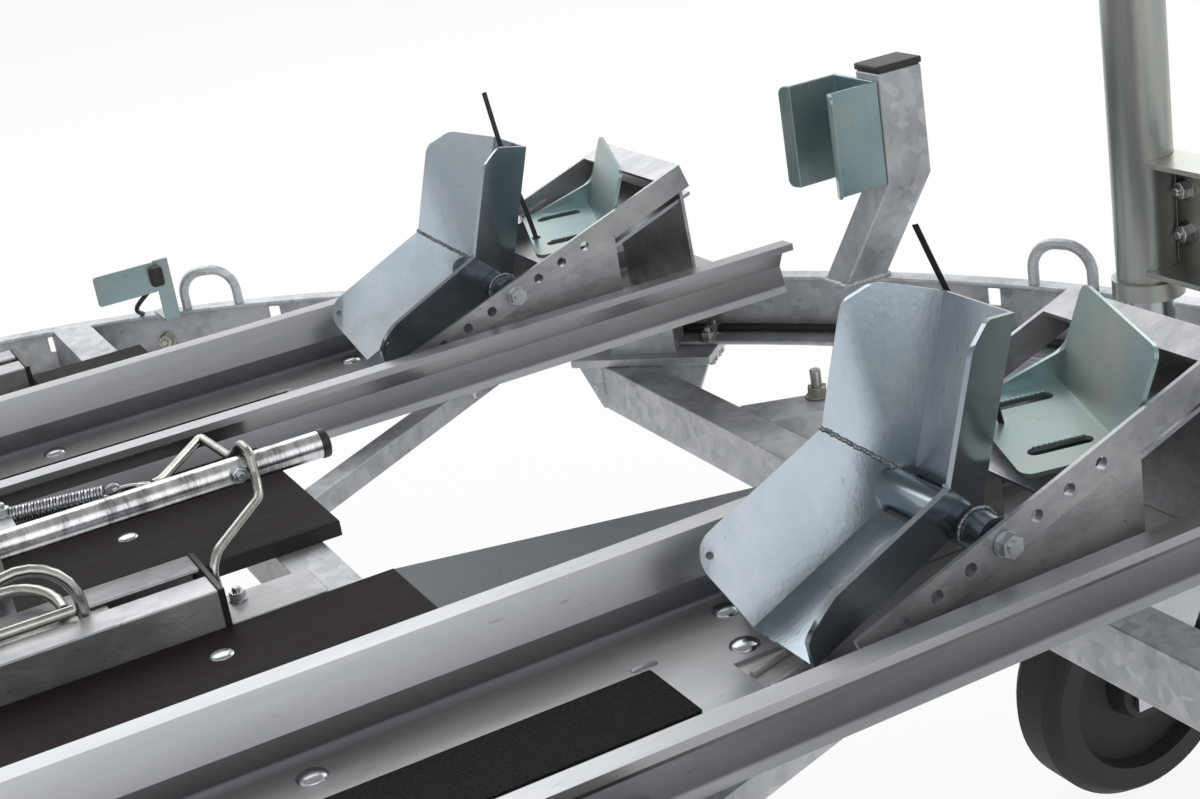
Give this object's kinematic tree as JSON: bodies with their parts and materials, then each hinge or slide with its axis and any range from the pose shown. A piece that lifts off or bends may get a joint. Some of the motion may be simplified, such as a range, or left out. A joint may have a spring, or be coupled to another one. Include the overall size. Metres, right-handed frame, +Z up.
{
  "type": "motorcycle trailer",
  "caption": "Flat motorcycle trailer with wheel rails, rocking wheel chocks, round bow frame, V drawbar, ball coupling, jockey wheel and lashing points.",
  "frame": {"origin": "on the ground, below the middle of the whole outline", "axes": "+X forward to the coupling, +Y left, +Z up"},
  "size_m": [3.4754, 2.394, 0.978],
  "materials": {
    "galvanised_steel": "satin, hot-dip galvanised",
    "zinc_sheet": "satin, bright zinc",
    "yellow_zinc": "satin, passivated zinc",
    "bolt_steel": "satin",
    "plywood": "film-faced, matt",
    "tyre_rubber": "matt",
    "wheel_paint": "silver, satin",
    "hub_metal": "matt",
    "black_plastic": "matt",
    "red_lens": "gloss",
    "black_cable": "matt"
  },
  "bodies": {
    "frame": {"perimeter_frame": "galvanised_steel", "deck_framing": "galvanised_steel", "front_crossbeam": "galvanised_steel", "bow_brackets": "galvanised_steel", "drawbar_arms": "galvanised_steel", "coupling_head": "zinc_sheet", "coupling_lever": "black_plastic", "jack_outer_tube": "galvanised_steel", "jack_bracket": "galvanised_steel", "jack_crank": "zinc_sheet", "rail_left": "zinc_sheet", "rail_centre": "zinc_sheet", "rail_right": "zinc_sheet", "chock_base_left": "zinc_sheet", "chock_base_centre": "zinc_sheet", "chock_base_right": "zinc_sheet", "pivot_bolts": "bolt_steel", "wheel_stops": "zinc_sheet", "planks_inner": "plywood", "planks_middle": "plywood", "planks_outer": "plywood", "lashing_beams": "zinc_sheet", "infill_sheet": "galvanised_steel", "axle_beam": "galvanised_steel", "trailing_arms": "galvanised_steel", "mudguards": "black_plastic", "holder_posts": "galvanised_steel", "post_caps": "black_plastic", "post_cradles": "yellow_zinc", "lashing_hoops": "galvanised_steel", "stowed_tube": "galvanised_steel", "rear_lamps": "red_lens", "plate_holder": "black_plastic", "lamp_cable": "black_cable"},
    "wheel_left": {"tyre_left": "tyre_rubber", "rim_left": "wheel_paint", "hub_left": "hub_metal"},
    "wheel_right": {"tyre_right": "tyre_rubber", "rim_right": "wheel_paint", "hub_right": "hub_metal"},
    "jack_leg_body": {"jack_leg": "zinc_sheet"},
    "jack_wheel_body": {"jack_wheel": "black_plastic"},
    "rocker_left_body": {"rocker_left": "zinc_sheet"},
    "rocker_centre_body": {"rocker_centre": "zinc_sheet"},
    "rocker_right_body": {"rocker_right": "zinc_sheet"}
  },
  "joints": [
    {"name": "wheel_left_spin", "type": "hinge", "parent": "frame", "child": "wheel_left", "pos_m": [-0.47635, 1.064, 0.274], "axis": [0, 1, 0], "continuous": true},
    {"name": "wheel_right_spin", "type": "hinge", "parent": "frame", "child": "wheel_right", "pos_m": [-0.47635, -1.064, 0.274], "axis": [0, 1, 0], "continuous": true},
    {"name": "jack_slide", "type": "slide", "parent": "frame", "child": "jack_leg_body", "axis": [0, 0, 1], "range_m": [0, 0.17]},
    {"name": "jack_wheel_spin", "type": "hinge", "parent": "jack_leg_body", "child": "jack_wheel_body", "pos_m": [0.72965, 0.265, 0.1], "axis": [0, 1, 0], "continuous": true},
    {"name": "rocker_left_tilt", "type": "hinge", "parent": "frame", "child": "rocker_left_body", "pos_m": [0.38365, 0.667, 0.465], "axis": [0, 1, 0], "range_deg": [0, 15]},
    {"name": "rocker_centre_tilt", "type": "hinge", "parent": "frame", "child": "rocker_centre_body", "pos_m": [0.37365, 0, 0.465], "axis": [0, 1, 0], "range_deg": [0, 15]},
    {"name": "rocker_right_tilt", "type": "hinge", "parent": "frame", "child": "rocker_right_body", "pos_m": [0.38365, -0.667, 0.465], "axis": [0, 1, 0], "range_deg": [0, 15]}
  ]
}
